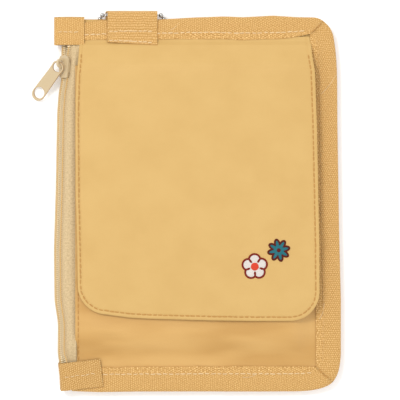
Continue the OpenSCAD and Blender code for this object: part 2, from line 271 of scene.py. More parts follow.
# ---------- materials ----------
class Mat:
    """A material and its surface node b; cloth() and place() are two sets of coordinates."""

    def __init__(self, name, rough=0.7, metallic=0.0, sheen=0.0, spec=0.5, coat=0.0):
        self.m = bpy.data.materials.new(name)
        self.m.use_nodes = True
        self.t = self.m.node_tree
        self.b = self.t.nodes["Principled BSDF"]
        surface = {"Roughness": rough, "Metallic": metallic, "Sheen Weight": sheen, "Sheen Roughness": 0.4,
                   "Specular IOR Level": spec, "Coat Weight": coat}
        for socket, value in surface.items():
            self.put(self.b.inputs[socket], value)
        self.bumped = None

    def put(self, socket, v):
        """Gives an input a node's output, a colour or a number."""
        if isinstance(v, bpy.types.NodeSocket):
            self.t.links.new(v, socket)
        elif socket.type == "RGBA":
            socket.default_value = (*v, 1)
        else:
            socket.default_value = v

    def n(self, kind, **values):
        """A node with its inputs and settings."""
        node = self.t.nodes.new(kind)
        for k, v in values.items():
            if k in node.inputs:
                self.put(node.inputs[k], v)
            else:
                setattr(node, k, v)
        return node

    def cloth(self, scale=(1, 1, 1)):
        """Millimetres along the flat cloth."""
        a = self.n("ShaderNodeAttribute", attribute_name="cloth")
        return self.n("ShaderNodeMapping", Vector=a.outputs["Vector"], Scale=scale).outputs["Vector"]

    def place(self):
        """Millimetres in the object's own space."""
        a = self.n("ShaderNodeTexCoord")
        return self.n("ShaderNodeMapping", Vector=a.outputs["Object"], Scale=[1 / MM] * 3).outputs["Vector"]

    def noise(self, vec, scale, detail=3.0, rough=0.5):
        x = self.n("ShaderNodeTexNoise", Vector=vec, Scale=scale, Detail=detail, Roughness=rough)
        return x.outputs["Fac"]

    def wave(self, vec, pitch, axis, distort, detail):
        """Bands one pitch apart; at scale 1 the node draws one in pi / 10."""
        x = self.n("ShaderNodeTexWave", bands_direction=axis, Vector=vec, Distortion=distort)
        self.put(x.inputs["Scale"], 0.31416 / pitch)
        self.put(x.inputs["Detail Scale"], detail)
        return x.outputs["Fac"]

    def math(self, op, *values):
        x = self.n("ShaderNodeMath", operation=op)
        for socket, v in zip(x.inputs, values):
            self.put(socket, v)
        return x.outputs[0]

    def ramp(self, fac, stops):
        r = self.n("ShaderNodeValToRGB", Fac=fac)
        e = r.color_ramp.elements
        while len(e) < len(stops):
            e.new(0.5)
        for el, (at, col) in zip(e, stops):
            el.position = at
            el.color = (*col, 1)
        return r.outputs["Color"]

    def mix(self, fac, a, b, kind="MIX"):
        x = self.n("ShaderNodeMix", data_type="RGBA", blend_type=kind)
        for k, v in ((0, fac), (6, a), (7, b)):
            self.put(x.inputs[k], v)
        return x.outputs[2]

    def colour(self, c):
        self.put(self.b.inputs["Base Color"], c)

    def rough(self, fac, low, high):
        x = self.n("ShaderNodeMapRange", Value=fac)
        self.put(x.inputs["To Min"], low)
        self.put(x.inputs["To Max"], high)
        self.put(self.b.inputs["Roughness"], x.outputs["Result"])

    def bump(self, height, depth, strength):
        x = self.n("ShaderNodeBump", Height=height, Distance=depth * MM, Strength=strength)
        if self.bumped:
            self.put(x.inputs["Normal"], self.bumped)
        self.bumped = x.outputs["Normal"]
        self.put(self.b.inputs["Normal"], self.bumped)


def lighter(c, k):
    return tuple(min(1.0, x * k) for x in c)


def shifted(c, by, k):
    """A colour whose channels are each moved by their own share."""
    return tuple(x * (1 + b * k) for x, b in zip(c, by))


def plain_cloth(name, base, rough, sheen, weave, streak, tone_and_sheen_vary=1.0, detail=4.0):
    """A plain weave with soft light and dark patches, partly uneven tone and partly painted sheen and
    shading: weave is its pitch, streak how short the patches are.
    """
    m = Mat(name, rough, sheen=sheen, spec=0.35)
    v = m.cloth()
    warp, weft = m.wave(v, weave, "X", 0.6, 2.0), m.wave(v, weave, "Y", 0.6, 2.0)
    cell = m.math("MULTIPLY", warp, weft)
    big = m.noise(m.cloth((streak[0], streak[1], 1)), 1.0, detail, 0.55)
    fine = m.noise(v, 3.0, 2.0)
    low = shifted(base, (-0.05, -0.07, -0.11), tone_and_sheen_vary)
    high = shifted(base, (0.04, 0.06, 0.10), tone_and_sheen_vary)
    # painted sheen and shading: broad noise patches darker and lighter than the base, partly the cloth's
    # uneven tone
    c = m.ramp(big, [(0.36, low), (0.5, base), (0.64, high)])
    c = m.mix(m.math("MULTIPLY", fine, 0.45), c, lighter(base, 0.80))
    c = m.mix(m.math("MULTIPLY", cell, 0.45), c, lighter(base, 1.18))
    m.colour(c)
    m.rough(fine, rough - 0.06, rough + 0.1)
    m.bump(big, 0.25, 0.5)
    m.bump(cell, 0.08, 0.5)
    return m.m


def grosgrain(name, base, row, dot, band=0.0, show=1.0):
    """A ribbed tape: staggered rows of light floats on a deeper ground, loose and speckled inside band."""
    rough = 0.66
    m = Mat(name, rough, sheen=0.15, spec=0.25)
    v = m.cloth()
    wob = m.n("ShaderNodeTexNoise", Vector=v, Scale=0.35, Detail=2.0)
    shift = m.n("ShaderNodeVectorMath", operation="MULTIPLY_ADD")
    for socket, w in zip(shift.inputs, (wob.outputs["Color"], (1.3, 1.3, 0), v)):
        m.put(socket, w)
    sep = m.n("ShaderNodeSeparateXYZ", Vector=shift.outputs[0])
    a = m.math("COSINE", m.math("MULTIPLY", sep.outputs[0], math.pi / row))
    b = m.math("COSINE", m.math("MULTIPLY", sep.outputs[1], math.pi / dot))
    dots = m.math("MULTIPLY_ADD", m.math("MULTIPLY", a, b), 0.5, 0.5)
    ribs = m.math("MULTIPLY", a, a)
    big = m.noise(m.cloth((0.12, 0.3, 1)), 1.0, 3.0)
    speck = m.noise(m.cloth((1.1, 1.5, 1)), 1.0, 2.0)
    f = m.math("MULTIPLY_ADD", ribs, 0.38, m.math("MULTIPLY", dots, 0.62))
    low = shifted(base, (-0.25, -0.36, -0.56), show)
    high = shifted(base, (0.22, 0.36, 0.72), show)
    c = m.ramp(f, [(0.22, low), (0.5, base), (0.78, high)])
    c = m.mix(m.math("MULTIPLY", big, 0.36), c, lighter(base, 0.82))
    spots = m.ramp(speck, [(0.36, (0.80, 0.75, 0.66)), (0.5, (1.0, 1.0, 1.0)), (0.66, (1.14, 1.18, 1.28))])
    c = m.mix(0.5, c, spots, "MULTIPLY")
    if band:
        raw = m.n("ShaderNodeSeparateXYZ", Vector=v)
        inner = m.math("LESS_THAN", raw.outputs[1], band)
        loose = m.noise(m.cloth((1.0, 1.6, 1)), 1.0, 2.0)
        stops = [(0.38, (0.80, 0.72, 0.58)), (0.5, (1.02, 1.02, 1.02)), (0.6, (1.26, 1.34, 1.50))]
        flecks = m.ramp(loose, stops)
        c = m.mix(m.math("MULTIPLY", inner, 0.8), c, flecks, "MULTIPLY")
    m.colour(c)
    m.rough(speck, rough - 0.06, rough + 0.12)
    m.bump(f, 0.14, 0.8)
    m.bump(big, 0.2, 0.4)
    return m.m


def herringbone(name, base):
    """The zip tape's twill, whose slant turns back every 1.6 mm across the tape."""
    m = Mat(name, 0.75, sheen=0.2, spec=0.25)
    a = m.n("ShaderNodeAttribute", attribute_name="cloth")
    sep = m.n("ShaderNodeSeparateXYZ", Vector=a.outputs["Vector"])
    zig = m.math("PINGPONG", sep.outputs[1], 1.6)
    comb = m.n("ShaderNodeCombineXYZ", X=m.math("ADD", sep.outputs[0], zig), Y=sep.outputs[1])
    twill = m.wave(comb.outputs[0], 0.62, "X", 0.3, 1.5)
    fine = m.noise(m.cloth(), 3.5, 3.0)
    c = m.ramp(twill, [(0.1, lighter(base, 0.72)), (0.5, base), (0.9, lighter(base, 1.12))])
    speck = m.noise(m.cloth((1.3, 1.3, 1)), 1.0, 2.0)
    spots = m.ramp(speck, [(0.36, (0.70, 0.66, 0.60)), (0.52, (1, 1, 1)), (0.66, (1.15, 1.17, 1.2))])
    c = m.mix(0.5, c, spots, "MULTIPLY")
    c = m.mix(m.math("MULTIPLY", fine, 0.35), c, lighter(base, 0.85))
    m.colour(c)
    m.rough(fine, 0.65, 0.85)
    m.bump(twill, 0.12, 0.7)
    return m.m


def thread(name, base, lines=None, spec=0.3):
    """Sewing or embroidery thread; lines is the pitch of its strands where they show."""
    rough = 0.5
    m = Mat(name, rough, sheen=0.2 * spec, spec=spec)
    fine = m.noise(m.place(), 2.2, 2.0)
    c = m.mix(fine, lighter(base, 0.8), lighter(base, 1.12))
    if lines:
        w = m.wave(m.cloth(), lines, "X", 0.5, 2.0)
        c = m.mix(m.math("MULTIPLY", m.math("SUBTRACT", 1.0, w), 0.55), c, lighter(base, 0.62))
        m.bump(w, 0.12, 0.8)
    m.colour(c)
    m.rough(fine, rough - 0.08, rough + 0.12)
    return m.m


def metal(name, base, rough, metallic, coat=0.0, face=None):
    """Metal, enamel or nylon. With face, the direction a plate faces, its rims get painted shade: faces
    turned away from it are darker and browner.
    """
    speck = 0.06
    m = Mat(name, rough, metallic, coat=coat)
    v = m.place()
    fine, big = m.noise(v, 1.6, 4.0), m.noise(v, 0.25, 2.0)
    c = m.mix(fine, lighter(base, 1 - speck), lighter(base, 1 + speck * 0.7))
    c = m.mix(m.math("MULTIPLY", big, 0.3), c, lighter(base, 0.9))
    # painted shade on the rims: faces that turn away from face are mixed towards a darker, browner colour
    if face:
        dot = m.n("ShaderNodeVectorMath", operation="DOT_PRODUCT")
        m.put(dot.inputs[0], m.n("ShaderNodeTexCoord").outputs["Normal"])
        m.put(dot.inputs[1], face)
        rim = m.math("LESS_THAN", m.math("ABSOLUTE", dot.outputs["Value"]), 0.97)
        dark = tuple(x * k for x, k in zip(base, (0.72, 0.55, 0.40)))
        c = m.mix(m.math("MULTIPLY", rim, 0.85), c, dark)
    m.colour(c)
    m.rough(fine, rough - 0.05, rough + 0.1)
    m.bump(fine, 0.02, 0.3)
    return m.m


YELLOW = (0.634, 0.402, 0.135)
ORANGE = (0.615, 0.352, 0.108)
GROS = (0.64, 0.37, 0.12)
BEIGE = (0.69, 0.515, 0.285)
ENAMEL = (0.585, 0.45, 0.262)
# the broad colour patches of these cloths are partly uneven tone and partly painted sheen and shading,
# strongest on the satin
M_FLAP = plain_cloth("flap_cloth", YELLOW, 0.58, 0.25, 0.5, (0.045, 0.055), 0.7)
M_SATIN = plain_cloth("satin_cloth", ORANGE, 0.42, 0.2, 0.45, (0.024, 0.085), 2.3, 1.6)
M_LINING = plain_cloth("lining_cloth", lighter(YELLOW, 0.92), 0.66, 0.2, 0.5, (0.06, 0.06))
M_GROS = grosgrain("grosgrain_tape", GROS, 0.95, 0.5)
M_TAB = grosgrain("grosgrain_tab", lighter(GROS, 0.92), 1.0, 0.55, show=1.2)
M_BIND = grosgrain("grosgrain_binding", lighter(GROS, 0.975), 1.0, 0.55, band=3.5)
M_WEB = grosgrain("grosgrain_web", lighter(GROS, 0.98), 1.25, 0.4, show=1.15)
M_TAPE = herringbone("zip_herringbone", BEIGE)
M_COIL = metal("zip_nylon", (0.76, 0.60, 0.36), 0.35, 0.0, 0.2)
M_GOLD = thread("zip_thread_gold", (0.66, 0.41, 0.145))
M_CORE = thread("zip_core", (0.70, 0.55, 0.33))
M_ENAMEL = metal("beige_enamel", ENAMEL, 0.36, 0.0, 0.35)
# the pull's rims get painted shade
M_PULL = metal("pull_enamel", ENAMEL, 0.36, 0.0, 0.35, face=(-0.38, -0.074, 0.922))
M_NICKEL = metal("nickel", (0.50, 0.49, 0.47), 0.16, 1.0)
M_STITCH = thread("stitch_tan", (0.54, 0.28, 0.075))
M_STITCH_L = thread("stitch_light", (0.80, 0.58, 0.31))
M_STITCH_G = thread("stitch_gold", (0.66, 0.40, 0.145))
M_FUZZ = plain_cloth("hook_and_loop", lighter(YELLOW, 0.85), 0.9, 0.5, 0.9, (0.5, 0.5))

# ---------- camera: far off, and SEEN wide at the height of the pouch's face ----------
SENSOR = 36
DIST = 1400
FACE = 9
SEEN = 200.0
cam = bpy.data.cameras.new("camera")
cam.sensor_width = SENSOR
cam.lens = SENSOR * (DIST - FACE) / SEEN
cam.clip_end = 20
cam_o = add("camera", cam)
cam_o.location = Vector((0.75, 2.75, DIST)) * MM
bpy.context.scene.camera = cam_o
bpy.context.scene.view_settings.view_transform = "Standard"

# ---------- ball chain (the route repeats the one in the CAD) ----------
# the loop's middle, its radius, the height up the pouch where it turns, and how high it lies
CM, CH, CT, CF = -33.5, 16.3, 77.5, 1.22
line = [(CM - 12.9, 95.5, 4.9), (CM + 14.2, 95.55, 4.9), (CM + 15.4, 95.2, 3.4), (CM + 16.0, 94.0, 1.95)]
line += [(CM + 16.25, 92.0, 1.35), (CM + CH, 88.8, CF)]
turn = np.radians(np.arange(0, -181, -15))
line += [(CM + CH * math.cos(a), CT + CH * math.sin(a), CF) for a in turn]
line += [(CM - CH, 88.8, CF), (CM - 16.25, 92.0, 1.35), (CM - 15.9, 94.0, 1.95)]
line += [(CM - 15.3, 95.2, 3.2), (CM - 14.3, 95.6, 4.7), (CM - 12.9, 95.5, 4.9)]
line = np.array(line)
chain_len = along(line, 0)[1]
COUNT = 36
pitch = chain_len / COUNT
centres = [along(line, (k + 0.35) * pitch)[0] for k in range(COUNT)]
# the balls that the connector holds
clasp = [k for k, c in enumerate(centres) if c[1] < CT - CH + 0.4]


def ball(c, r, axis):
    """A ball with its seam ring and the two small mouths that the links leave by."""
    rings, sides = 10, 16
    a = np.array(axis, float)
    a /= np.linalg.norm(a)
    u = np.cross(a, (0, 0, 1.0) if abs(a[2]) < 0.9 else (0, 1.0, 0))
    u /= np.linalg.norm(u)
    w = np.cross(a, u)
    V = []
    for t in np.linspace(-82, 82, rings) * math.pi / 180:
        seam = r * (1 + (0.025 if abs(t) < 0.12 else 0))
        for j in range(sides):
            p = j * 2 * math.pi / sides
            V.append(c + a * r * math.sin(t) + (u * math.cos(p) + w * math.sin(p)) * seam * math.cos(t))
    return np.array(V), ring_faces(rings, sides)


parts = []
for k, c in enumerate(centres):
    nxt = centres[(k + 1) % COUNT]
    parts.append(ball(c, 0.86 if k in clasp else 1.2, nxt - centres[k - 1]))
    parts.append(tube_mesh([c, (c + nxt) / 2, nxt], 0.33))
chain = piece("ball_chain_balls", *joined(parts), M_NICKEL)
settle(chain, "ball_chain", "nickel", "chain_balls", "chain_links")
# connector: a short sleeve with rounded ends and a slot down one side
prof = [(-3.5, 0.55), (-3.45, 0.9), (-3.2, 1.12), (-2.8, 1.2), (-0.5, 1.2), (0, 1.12)]
prof += [(0.5, 1.2), (2.8, 1.2), (3.2, 1.12), (3.45, 0.9), (3.5, 0.55)]
COLS = 20
ROWS = len(prof)
V = []
for wall, short in ((0, 1), (0.25, 0.97)):
    for x, r in prof:
        for j in range(COLS):
            a = math.radians(-70 + j * 320 / (COLS - 1))
            y = CT - CH + 0.1 + (r - wall) * math.cos(a)
            V.append((CM + x * short, y, CF + 0.05 + (r - wall) * math.sin(a)))
k = ROWS * COLS
F = grid_faces(ROWS, COLS) + grid_faces(ROWS, COLS, k, True)
for i in range(0, k - COLS, COLS):
    j = i + COLS - 1
    F.append((i, i + COLS, i + COLS + k, i + k))
    F.append((j, j + k, j + COLS + k, j + COLS))
for j in range(COLS - 1):
    i = k - COLS + j
    F.append((j, j + k, j + 1 + k, j + 1))
    F.append((i, i + 1, i + 1 + k, i + k))
conn = piece("ball_chain_connector", V, F, M_NICKEL)
settle(conn, "ball_chain", "nickel", "chain_connector")

# ---------- shapes shared by the panels ----------
# the panels' cut edges: left, right, bottom, top and the front pocket's mouth
XL, XR, YB, YT = -61.5, 69.3, -92.3, 93.3
MOUTH = 70.0
# the binding's right edge, which leans in towards the top
EDGE = ([-75, -47, -12, 38, 66, 75.4, 82, 86.6, 92], [71.2, 71.2, 70.3, 69.5, 69.3, 68.8, 68.0, 67.2, 65.5])


def outer_x(y):
    return np.interp(y, *EDGE)


def lean(y):
    """How far the right edge stands in from X = 71."""
    return 71.0 - outer_x(y)


def panel_grid(x0, y1, near_x, near_y, step, r):
    """A panel's grid on its flat cloth, then the same points inside the pouch's outline."""
    X, Y = np.meshgrid(spacing(x0, XR, near_x, step), spacing(YB, y1, near_y, step), indexing="ij")
    Xr, Yr = rounded(X, Y, x0, XR, YB, y1, r)
    return X, Y, Xr - lean(Yr) * smooth((Xr + 20) / 80), Yr


def back_z(X, Y):
    """Height of the back panel, which lies on the table and rises to the binding and the zip."""
    right = smooth((X - 45) / 13.5)
    bottom = smooth((-63 - Y) / 14.5)
    top = np.interp(Y, [38, 46, 56, 82, 90], [0, 1.0, 3.05, 4.33, 4.33])
    h = np.maximum(4.33 * np.maximum(right, bottom), top)
    return 0.2 + np.maximum(h, 0.65 * smooth((-51 - X) / 6))


# back panel
X, Y, Xr, Yr = panel_grid(XL, YT, [0, 0.5, 1.2, 2.5], [0, 0.5, 1.2, 2.5], 2.6, (0, 14, 8, 0))
Z = back_z(X, Y)
raised = np.clip(Z - 0.2, 0, 1)
Z = Z + 0.22 * np.abs(ripples(X, Y, 26, 34, 3)) * (1 - raised) + 0.12 * ripples(X, Y, 9, 12, 4) * raised
Z = np.maximum(Z, 0.21)
back = shell("back_panel_cloth", points(Xr, Yr, Z), points(X, Y), 0.4, M_SATIN)
settle(back, "pouch", "satin", "back_panel")

# divider
X, Y, Xr, Yr = panel_grid(-59.5, YT, [0, 0.6, 1.6], [0, 0.6, 1.6], 3.2, (0, 14, 8, 0))
inside = smooth((Y + 77) / 13) * smooth((78 - Y) / 13)
Z = 4.9 + 3.55 * smooth((-44.5 - X) / 13) * inside
middle = smooth((X + 40) / 15) * smooth((52 - X) / 12) * inside
Z = Z + 0.12 * ripples(X, Y, 16, 22, 5) * middle
div = shell("divider_cloth", points(Xr, Yr, Z), points(X, Y), 0.26, M_LINING)
settle(div, "pouch", "lining", "divider_panel")

# long soft folds in the part of the pocket that shows below the flap: two ends, height and half-width
FOLDS = [
    (-56, -63.5, -6, -71.5, 0.75, 1.9),
    (-54, -70.5, 6, -76.5, 0.6, 1.7),
    (-20, -63, 40, -66.5, 0.45, 1.6),
    (8, -69, 52, -71, 0.5, 1.5),
    (-58, -60.5, -36, -63, 0.4, 1.4),
    (20, -74, 55, -75.5, 0.35, 1.2),
    (-50, -66.6, -20, -68.2, -0.45, 1.1),
    (-5, -73.6, 30, -72.6, -0.4, 1.1),
]
# how far in from their edges the front panel's two seams run
SEAM = 1.45
MOUTH_SEAM = 6


def front_top(X, Y):
    """Height of the front panel, which falls to the binding, with its folds, rolled left edge and seams."""
    z = 5.27 + 4.33 * (1 - smooth((X - 46) / 12.5)) * smooth((Y + 77.5) / 15.5)
    slack = smooth((z - 5.6) / 2.5)
    z = z + slack * (0.28 * ripples(X, Y, 42, 9, 11) + 0.16 * ripples(X, Y, 16, 5.5, 12))
    for x0, y0, x1, y1, h, w in FOLDS:
        ux, uy = x1 - x0, y1 - y0
        length = math.hypot(ux, uy)
        t = ((X - x0) * ux + (Y - y0) * uy) / length
        off = ((X - x0) * -uy + (Y - y0) * ux) / length - 1.2 * np.sin(t / 9.0)
        z = z + slack * h * dip(off, w) * smooth(t / 8) * smooth((length - t) / 12)
    d = X - XL
    z = z - slack * 0.22 * dip(d - SEAM, 0.5) - 0.5 * np.clip(0.7 - d, 0, 0.7) ** 2
    return z - 0.2 * dip(MOUTH - Y - MOUTH_SEAM, 0.8) * slack


# front pocket panel, with its left edge folded under
near_x = [0, 0.15, 0.4, 0.8, 1.4, 2.2, 3.2, 4.4]
X, Y, Xr, Yr = panel_grid(XL, MOUTH, near_x, [0, 0.3, 0.8, 1.6, 2.6, 4.0], 2.0, (0, 14, 0, 0))
# it stays below the flap, but for the part that shows
Z = np.minimum(front_top(X, Y), 9.78 + 1.2 * smooth((-58.5 - Y) / 3))
front = shell("front_panel_cloth", points(Xr, Yr, Z), points(X, Y), 0.38, M_SATIN)
settle(front, "pouch", "satin", "front_panel")
y = np.linspace(-78, MOUTH - 1, 120)
x = np.full_like(y, XL + SEAM)
stitches("front_edge_stitches", "satin", points(x, y, front_top(x, y) + 0.2), M_STITCH)
x = np.linspace(XL + 3, 56, 90)
y = np.full_like(x, MOUTH - MOUTH_SEAM)
stitches("mouth_stitches", "satin", points(x, y, front_top(x, y) + 0.2), M_STITCH)

# ---------- binding: grosgrain folded over the seam ----------
# its section: (share of the way from the inner to the outer edge, height). Row GROOVE is the seam's,
# and below FOLD_Z the tape is behind the pouch
TAPE = [
    (0.0, 5.78), (0.012, 5.86), (0.05, 5.84), (0.22, 5.80), (0.29, 5.68), (0.36, 5.82), (0.55, 5.86),
    (0.8, 5.86), (0.9, 5.82), (0.96, 5.62), (0.99, 5.3), (1.0, 4.9), (0.99, 4.5), (0.96, 4.18), (0.9, 3.98),
    (0.6, 3.95), (0.3, 3.98), (0.0, 4.0),
]
GROOVE = 4
FOLD_Z = 4.9


def tape(name, node, inner, outer, n, axis, lift0, lift1, seed, stitch, sink=0.06):
    """A tape folded over the seam, running along axis. inner and outer are its two edges in plan."""
    A, B = resample(inner, n), resample(outer, n)
    w = np.linalg.norm(A - B, axis=1)
    P = np.zeros((n, len(TAPE), 3))
    UV = np.zeros((n, len(TAPE), 2))
    s = np.r_[0, np.cumsum(np.linalg.norm(np.diff((A + B) / 2, axis=0), axis=1))]
    lift = lift0 * np.exp(-s / 5.0) + lift1 * np.exp(-(s[-1] - s) / 5.0)
    run = 0
    for j, (q, z) in enumerate(TAPE):
        if j:
            run += math.hypot((q - TAPE[j - 1][0]) * float(w.mean()), z - TAPE[j - 1][1])
        side, loose = (1, 1) if z > FOLD_Z else (-1, 0.6)
        uneven = wander(s, 11.0, q * 2.1, seed * 5.0) * 0.3 + wander(s, 3.6, q * 1.2, seed * 9.0) * 0.2
        P[:, j, :2] = A + (B - A) * q
        P[:, j, 2] = z + uneven * (1 - abs(2 * q - 1) * 0.3) * loose + lift * side
        UV[:, j, 0] = P[:, j, axis]
        UV[:, j, 1] = run
    # the free inner edge is not quite straight
    edge = (wander(s, 12.0, 3.3, seed * 2.0) + 0.5 * wander(s, 3.4, 8.3, seed * 2.0)) * 0.42
    for j in range(3):
        P[:, j, :2] += ((A - B) / w[:, None]) * edge[:, None]
    o = shell(name, P, UV, 0.42, M_BIND)
    settle(o, "pouch", "grosgrain", node)
    seam = np.c_[A + (B - A) * TAPE[GROOVE][0], P[:, GROOVE, 2] + 0.24][3:-3]
    stitches(name + "_stitches", "grosgrain", seam, stitch, 3.0, 2.3, 0.3, sink=sink, uneven=0.8)


# the tape's two edges in plan, from mitre to mitre
INNER_X, INNER_Y = 58.7, -80.8
top_out = [
    (-62, 90.9), (-56.75, 91.6), (-49.25, 92.7), (-44, 93.0), (-18.25, 93.2), (-10, 93.6), (-1.75, 94.1),
    (5, 94.3), (12.25, 94.6), (17, 94.45), (22.25, 94.2), (28, 94.5), (37.1, 95.0), (43, 94.65),
    (49.1, 94.25), (55.75, 94.15), (58.6, 94.1), (60.6, 93.55), (62.3, 92.5),
]
top_in = [(-62, 82.9), (-30, 83.3), (0, 83.7), (25, 83.1), (40, 83.5), (48, 84.5), (55.9, 86.0)]
right_out = [(62.3, 92.5), (64.0, 91), (65.55, 89.35), (67.0, 86.65)]
right_out += [(outer_x(y), y) for y in np.linspace(84, -75, 30)]
right_out += [(70.75, -79.75), (70, -83.25), (68.75, -86.25), (67.25, -88.4)]
right_in = [(55.9, 86.0), (56.3, 83.4)]
right_in += [(INNER_X - lean(y) * 0.9, y) for y in np.linspace(80, -78, 20)]
right_in += [(INNER_X + 0.1, INNER_Y)]
bot_out = [
    (67.25, -88.4), (65.75, -89.7), (63.75, -90.7), (60.75, -91.75), (55.75, -92.65), (50, -93.0),
    (30, -93.1), (0, -93.05), (-30, -93.1), (-50, -93.4), (-63.5, -92.9),
]
bot_in = [(INNER_X, INNER_Y), (20, -80.7), (-20, -80.9), (-60, -81.0)]
tape("binding_right_tape", "binding_right", right_in, right_out, 110, 1, 0, 0, 2, M_STITCH_G, 0.2)
tape("binding_top_tape", "binding_top", top_in, top_out, 84, 0, 0, 0.28, 1, M_STITCH_L)
tape("binding_bottom_tape", "binding_bottom", bot_in, bot_out, 80, 0, 0.28, 0, 3, M_STITCH_L)

# thread caught along the two mitres, on the tape's face
MITRES = ([(57.0, 87.0), (59.4, 89.2), (61.9, 91.8)], [(60.2, -82.4), (62.4, -84.4), (65.6, -86.9)])
for k, mitre in enumerate(MITRES):
    line = np.c_[resample(mitre, 20), np.full(20, 6.38)]
    stitches("mitre_stitches_%d" % k, "grosgrain", line, M_STITCH, 1.5, 1.3, 0.26, uneven=0.9)

# a few loose ends of thread on the binding: from, to and how far they bend
LOOSE = [(61.6, 56.0, 69.0, 65.6, 0.5), (-14, 88, -10, 91.5, 0.5)]
LOOSE += [(60.5, -57, 63, -49, 0.8), (22, -86, 29, -84.6, 0.6)]
parts = []
t = np.linspace(0, 1, 14)
for x0, y0, x1, y1, most in LOOSE:
    bend = np.sin(t * math.pi) * most
    x, y = x0 + (x1 - x0) * t + bend * 0.5, y0 + (y1 - y0) * t - bend
    parts.append(tube_mesh(points(x, y, 6.16 + 0.1 * np.sin(t * 6)), 0.14, 5))
settle(piece("loose_threads", *joined(parts), M_STITCH_L), "pouch", "grosgrain")

# ---------- zip ----------
# the zip's line leans by LEAN in plan, and its plane is tilted by ALPHA
LEAN = math.radians(0.737)
ALPHA = math.radians(45)
ZIP_Z = 5.0
BOW = ([-84, -79, -74, -59, -48, -22, 8, 46, 56, 63, 76, 84],
       [1.6, 1.1, 0.05, 0.0, -1.9, -2.55, -2.0, -1.8, -1.2, 0.0, 0.0, 0.2])
BOW_Y = np.linspace(-90, 90, 361)
BOW_X = soften(np.interp(BOW_Y, *BOW), 18)


def zip_line(y):
    """X of the zip's line at each place along it."""
    return -67.15 + np.asarray(y, float) * math.sin(LEAN)


def bow(y):
    """The soft tape's sideways bow between its two ends."""
    return np.interp(np.asarray(y, float), BOW_Y, BOW_X)


def spread(y):
    """1 along the pouch, falling where the tapes come together under the two tabs."""
    y = np.asarray(y, float)
    return smooth((y + 80.5) / 11) * (1 - 0.45 * smooth((y - 68) / 13))


def ribbon(name, node, pts, hold, seed, inner):
    """A zip tape whose section runs through pts. Its outer edge follows the bow; inner is where it stops."""
    sec, total = section(pts, 26, 3)
    q = np.linspace(0, 1, len(sec))
    ys = np.linspace(-79, 80.2, 150)
    P = np.zeros((len(ys), len(sec), 3))
    UV = np.zeros((len(ys), len(sec), 2))
    for i, y in enumerate(ys):
        b = float(bow(y)) * (1 - smooth((q - hold[0]) / (hold[1] - hold[0])))
        w = 0.16 * noise.noise(Vector((y / 9.0, seed, 0.5)))
        P[i, :, 0] = np.minimum(zip_line(y) + sec[:, 0] + b, inner(y) + 0.02 * q)
        P[i, :, 1] = y
        P[i, :, 2] = ZIP_Z + sec[:, 1] * spread(y) + w * np.sin(q * math.pi)
        UV[i, :, 0] = y
        UV[i, :, 1] = q * total
    o = shell(name, P, UV, 0.42, M_TAPE)
    settle(o, "pouch", "zip_tape", node)


pts = [(0.9, 0.75), (1.5, 1.5), (2.45, 2.6), (3.15, 3.55), (4.0, 3.95), (4.8, 3.75), (5.5, 3.35), (6.4, 3.2)]
pts += [(8.5, 3.2)]
ribbon("zip_tape_front_cloth", "zip_tape_front", pts, (0.25, 0.75), 4.0,
       lambda y: -58.6 - 2.6 * smooth((-60 - y) / 6))
pts = [(-0.9, -0.95), (-1.64, -1.7), (-2.5, -2.6), (-2.85, -3.5), (-2.3, -4.3), (-1.3, -4.6), (9.3, -4.62)]
ribbon("zip_tape_back_cloth", "zip_tape_back", pts, (0.3, 0.8), 7.0,
       lambda y: -57.4)


def zip_at(y, across, out):
    """A place on the zip, across its plane and out of its face. It lies flatter near the bottom tab."""
    y = np.asarray(y, float)
    al = ALPHA - math.radians(24) * smooth((-73 - y) / 6)
    x = zip_line(y) + bow(y) + across * np.cos(al) - out * np.sin(al)
    return points(x, y, ZIP_Z + across * np.sin(al) + out * np.cos(al))


def coil(name, sign, node):
    """One row of the nylon coil: a flattened helix round a cord, whose heads meet the other row's."""
    def across(y, by):
        return smooth((y - 74) / 8) * 0.7 * sign + by

    turns, seg = 166, 10
    t = np.arange(turns * seg) / seg
    y = -83 + t + (0.5 if sign > 0 else 0)
    a = 2 * math.pi * t
    helix = zip_at(y, across(y, sign * (1.02 + 1.05 * np.cos(a))), 0.72 * np.sin(a))
    settle(piece(name, *tube_mesh(helix, 0.33, 6, up=(0, 1, 0)), M_COIL), "pouch", "zip_coil", node)
    y = np.linspace(-83, 83, 170)
    cord = tube_mesh(zip_at(y, across(y, sign * 1.15), np.zeros_like(y)), 0.62, 10)
    settle(piece(name + "_cord", *cord, M_CORE), "pouch", "zip_coil")
    y = np.linspace(-80, 80, 160)
    seam = zip_at(y, across(y, sign * 1.75), np.full_like(y, 0.56))
    stitches(name + "_stitches", "zip_tape", seam, M_GOLD, 1.25, 1.25, 0.32, up=(-0.7, 0, 0.7))


coil("zip_coil_front_row", 1, "zip_coil_front")
coil("zip_coil_back_row", -1, "zip_coil_back")

# slider and pull
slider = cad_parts["zip_slider"]
slider.data.materials.clear()
slider.data.materials.append(M_ENAMEL)
bev = slider.modifiers.new("edges", "BEVEL")
bev.width = 0.22 * MM
bev.segments = 3
bev.limit_method = "ANGLE"
bev.angle_limit = math.radians(35)


def oval(rx, ry, cy, degrees):
    """Points of an oval about (0, cy)."""
    return [(rx * math.cos(t), cy + ry * math.sin(t)) for t in np.radians(degrees)]


